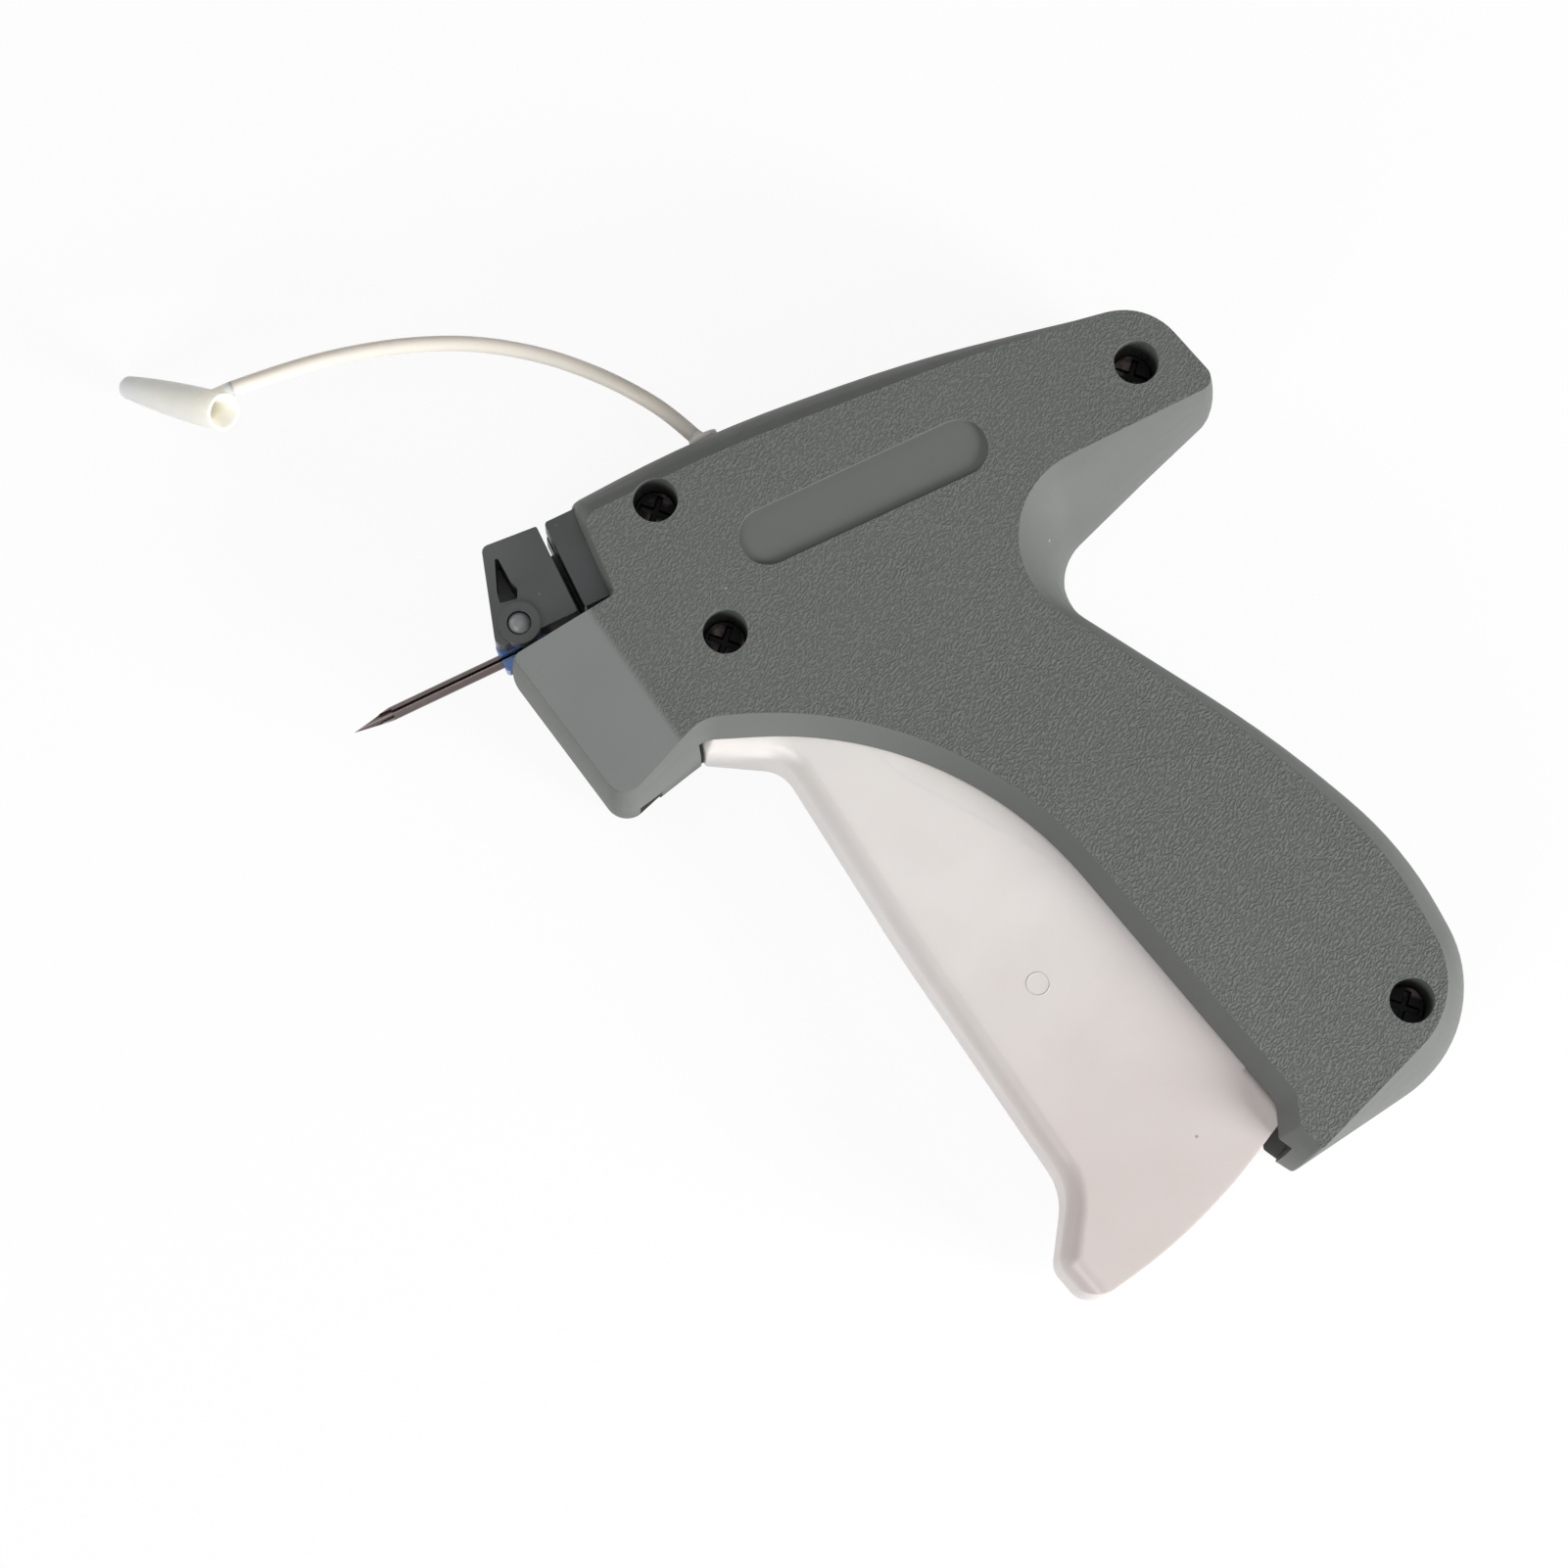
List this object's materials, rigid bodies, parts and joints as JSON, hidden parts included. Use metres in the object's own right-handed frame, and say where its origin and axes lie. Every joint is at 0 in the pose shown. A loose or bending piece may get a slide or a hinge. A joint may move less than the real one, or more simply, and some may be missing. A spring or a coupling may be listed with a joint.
{
  "type": "garment tag attacher",
  "caption": "Hand-held garment tag attacher with pistol grip, squeeze trigger, feed head, hollow needle, needle lock lever and a needle cap on a strap.",
  "frame": {"origin": "on the flat side that the tool rests on, straight under the pivot of the trigger", "axes": "+X runs back along the barrel (the needle points to -X), +Y points to the top of the tool, +Z comes out of the left side; the tool lies on its right side"},
  "size_m": [0.13, 0.1686, 0.026],
  "materials": {
    "housing_grey": "fine leather grain on the flat sides, smooth satin elsewhere",
    "head_plastic": "satin",
    "block_plastic": "satin",
    "trigger_plastic": "semi-gloss, cream white",
    "blue_plastic": "semi-gloss",
    "lock_plastic": "translucent light grey",
    "needle_steel": "ground and polished",
    "screw_steel": "zinc plated",
    "pin_steel": "drawn",
    "spring_steel": "oiled wire",
    "acetal": "natural acetal",
    "strap_plastic": "soft cream plastic",
    "cap_plastic": "soft cream plastic"
  },
  "bodies": {
    "housing": {"left_shell": "housing_grey", "right_shell": "housing_grey", "front_plate": "head_plastic", "feed_block": "block_plastic", "needle": "needle_steel", "needle_base": "blue_plastic", "cutter_blade": "needle_steel", "housing_screws": "screw_steel", "lever_pivot_pin": "pin_steel", "feed_wheel_axle": "pin_steel", "holding_pawl": "spring_steel", "return_spring": "spring_steel", "tether_anchor": "strap_plastic", "tether_strap": "strap_plastic", "needle_cap": "cap_plastic"},
    "trigger": {"trigger": "trigger_plastic"},
    "lever": {"drive_lever": "acetal", "lever_link_pin": "pin_steel", "slider_drive_pin": "pin_steel"},
    "slider": {"slider": "acetal", "push_rod": "needle_steel"},
    "rocker": {"feed_rocker": "acetal", "rocker_pin": "pin_steel", "feed_pawl": "spring_steel"},
    "wheel": {"feed_wheel": "acetal"},
    "lock": {"needle_lock": "lock_plastic"}
  },
  "joints": [
    {"name": "trigger_hinge", "type": "hinge", "parent": "housing", "child": "trigger", "pos_m": [0, 0, 0.013], "axis": [0, 0, 1], "range_deg": [0, 17], "stiffness_Nm_per_rad": 0.3, "springref_deg": -20.05, "deforming": ["return_spring"]},
    {"name": "lever_hinge", "type": "hinge", "parent": "housing", "child": "lever", "pos_m": [0.026, -0.016, 0.013], "axis": [0, 0, 1], "range_deg": [0, 66]},
    {"name": "slider_slide", "type": "slide", "parent": "housing", "child": "slider", "axis": [-1, 0, 0], "range_m": [0, 0.03268]},
    {"name": "rocker_hinge", "type": "hinge", "parent": "housing", "child": "rocker", "pos_m": [-0.0119, 0.0025, 0.013], "axis": [0, 0, 1], "range_deg": [-30, 0], "deforming": ["feed_pawl"]},
    {"name": "wheel_hinge", "type": "hinge", "parent": "housing", "child": "wheel", "pos_m": [-0.0119, 0.0025, 0.013], "axis": [0, 0, 1], "continuous": true, "deforming": ["holding_pawl"]},
    {"name": "lock_hinge", "type": "hinge", "parent": "housing", "child": "lock", "pos_m": [-0.0233, 0.0135, 0.013], "axis": [0, 0, 1], "range_deg": [-70, 0]}
  ],
  "couplings": [
    {"joint": "lever_hinge", "follows": "trigger_hinge", "ratio": 3.8824},
    {"joint": "slider_slide", "follows": "trigger_hinge", "m_per_rad": 0.11014},
    {"joint": "rocker_hinge", "follows": "trigger_hinge", "ratio": -1.7647}
  ]
}
